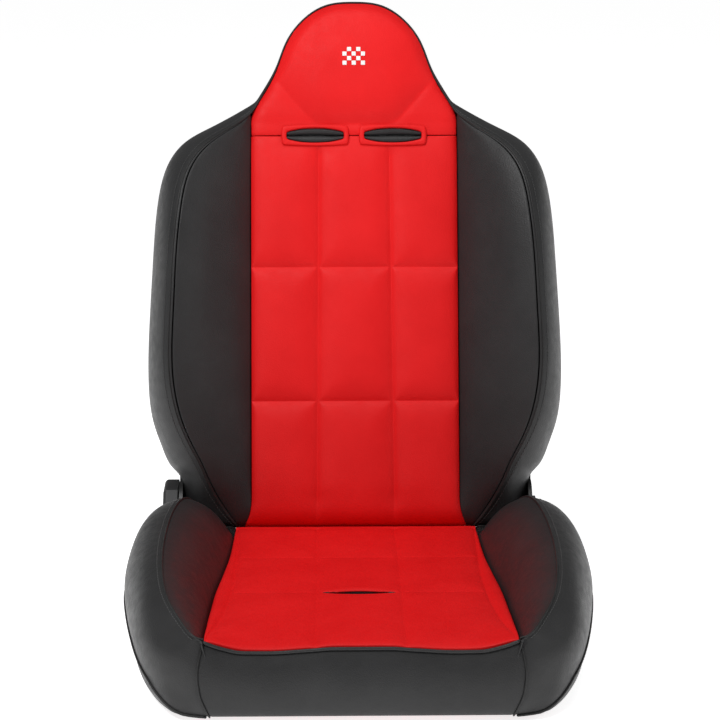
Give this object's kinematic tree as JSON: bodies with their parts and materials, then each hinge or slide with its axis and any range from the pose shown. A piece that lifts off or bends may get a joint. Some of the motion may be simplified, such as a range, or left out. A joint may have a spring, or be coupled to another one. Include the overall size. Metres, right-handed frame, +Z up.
{
  "type": "racing seat",
  "caption": "Reclining suspension racing seat: tubular frame, side bolsters, quilted centre pads, harness slots, release lever and floor rails.",
  "frame": {"origin": "centre of the floor bolt pattern, on the underside of the two mounting rails", "axes": "+X the occupant's left, -Y the way the seat faces, +Z up"},
  "size_m": [0.604, 0.801, 0.7617],
  "materials": {
    "black_vinyl": "satin grained black vinyl",
    "red_vinyl": "satin grained red vinyl, quilted",
    "seat_foam": "open-cell urethane foam",
    "liner_fabric": "coated woven nylon",
    "shock_cord": "braided elastic cord",
    "frame_paint": "black powder coat",
    "zinc_steel": "bright zinc plate",
    "spring_steel": "oil-tempered spring steel",
    "bronze": "plain bronze",
    "eyelet_brass": "nickel-free brass",
    "cover_plastic": "textured black ABS",
    "felt": "needled felt",
    "trim_black": "black vinyl binding",
    "panel_vinyl": "black vinyl over fibreboard",
    "patch_fabric": "embroidered patch, plain chequer",
    "grip_rubber": "moulded soft black"
  },
  "bodies": {
    "base": {"base_bolster_cover_left": "black_vinyl", "base_bolster_cover_right": "black_vinyl", "base_bolster_foam_left": "seat_foam", "base_bolster_foam_right": "seat_foam", "base_front_tube": "frame_paint", "base_liner": "liner_fabric", "base_liner_eyelets": "eyelet_brass", "base_rear_tube": "frame_paint", "base_shock_cords": "shock_cord", "base_side_tube_left": "frame_paint", "base_side_tube_right": "frame_paint", "bolster_hoops": "frame_paint", "cover_screws": "zinc_steel", "cushion_cover": "red_vinyl", "cushion_foam": "seat_foam", "cushion_support_felt": "felt", "front_skirt": "black_vinyl", "mount_rail_left": "frame_paint", "mount_rail_right": "frame_paint", "pivot_bolts": "zinc_steel", "pivot_nuts": "zinc_steel", "rail_nuts": "zinc_steel", "recliner_base_plate_left": "frame_paint", "recliner_base_plate_right": "frame_paint", "recliner_cover": "cover_plastic", "return_springs": "spring_steel", "strap_slot_trim": "trim_black"},
    "backrest": {"back_bolster_cover_left": "black_vinyl", "back_bolster_cover_right": "black_vinyl", "back_bolster_foam_left": "seat_foam", "back_bolster_foam_right": "seat_foam", "back_hoop": "frame_paint", "back_liner": "liner_fabric", "back_liner_eyelets": "eyelet_brass", "back_lower_tube": "frame_paint", "back_pad_cover": "red_vinyl", "back_pad_foam": "seat_foam", "back_plate_bolts": "zinc_steel", "back_plate_spacers": "zinc_steel", "back_shock_cords": "shock_cord", "harness_bars": "frame_paint", "harness_bezels": "red_vinyl", "harness_sleeves": "trim_black", "head_badge": "patch_fabric", "head_pad_cover": "red_vinyl", "head_pad_foam": "seat_foam", "map_pocket": "panel_vinyl", "pivot_bushes": "bronze", "rear_panel": "panel_vinyl", "rear_panel_rim": "panel_vinyl", "recliner_back_plate_left": "frame_paint", "recliner_back_plate_right": "frame_paint", "spring_posts": "zinc_steel"},
    "release": {"lever_arm": "frame_paint", "lever_grip": "grip_rubber", "release_pawl_left": "zinc_steel", "release_pawl_right": "zinc_steel", "release_shaft": "zinc_steel", "shaft_clip": "zinc_steel"}
  },
  "joints": [
    {"name": "recline", "type": "hinge", "parent": "base", "child": "backrest", "pos_m": [0, 0.25189, 0.09214], "axis": [-1, 0, 0], "range_deg": [-18, 72], "deforming": ["return_springs"]},
    {"name": "release_lever", "type": "hinge", "parent": "base", "child": "release", "pos_m": [0, 0.21989, 0.05114], "axis": [-1, 0, 0], "range_deg": [0, 12], "stiffness_Nm_per_rad": 6, "springref_deg": -14.32}
  ]
}
